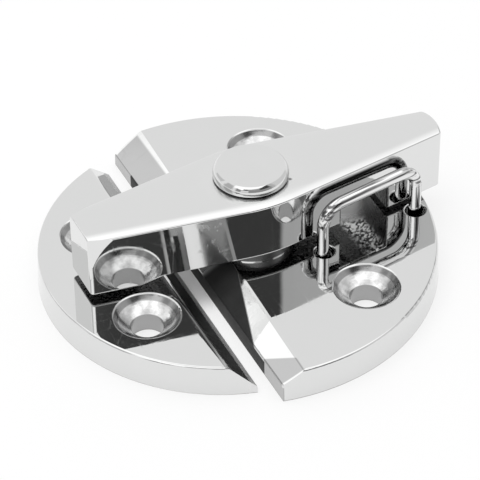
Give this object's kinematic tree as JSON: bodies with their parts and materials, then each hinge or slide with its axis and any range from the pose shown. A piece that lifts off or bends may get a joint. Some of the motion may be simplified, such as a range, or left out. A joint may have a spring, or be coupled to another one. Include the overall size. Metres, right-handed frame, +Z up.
{
  "type": "hatch latch",
  "caption": "Round split-plate hatch latch with a turning lever whose nose lies over a keeper, and a loose U-shaped bail for a padlock.",
  "frame": {"origin": "middle of the closed latch's bounding box, on the deck plane under both plates", "axes": "+X along the closed lever from its nose over the keeper to its tail, +Y along the split away from the bail, +Z up from the deck"},
  "size_m": [0.0822, 0.08, 0.0233],
  "materials": {
    "polished_casting": "mirror-polished cast stainless steel, with fine handling scratches",
    "polished_lever": "mirror-polished casting, rough as cast inside the arch and underneath",
    "turned_pin": "turned and polished stainless steel",
    "polished_rod": "polished drawn stainless rod",
    "plain_steel": "plain stainless steel, satin",
    "bearing_plastic": "plain black bearing plastic"
  },
  "bodies": {
    "plates": {"base_plate": "polished_casting", "keeper_plate": "polished_casting", "pivot_pin": "turned_pin", "thrust_washer": "bearing_plastic", "spring_washer": "plain_steel", "tail_washer": "plain_steel", "lock_nut": "plain_steel"},
    "turning_lever": {"lever": "polished_lever"},
    "loose_bail": {"bail": "polished_rod", "bail_collars": "plain_steel"}
  },
  "joints": [
    {"name": "lever_turn", "type": "hinge", "parent": "plates", "child": "turning_lever", "pos_m": [0.00118, 0, 0], "axis": [0, 0, 1], "range_deg": [0, 88]},
    {"name": "bail_lift", "type": "slide", "parent": "plates", "child": "loose_bail", "axis": [0, 0, 1], "range_m": [0, 0.002]}
  ]
}
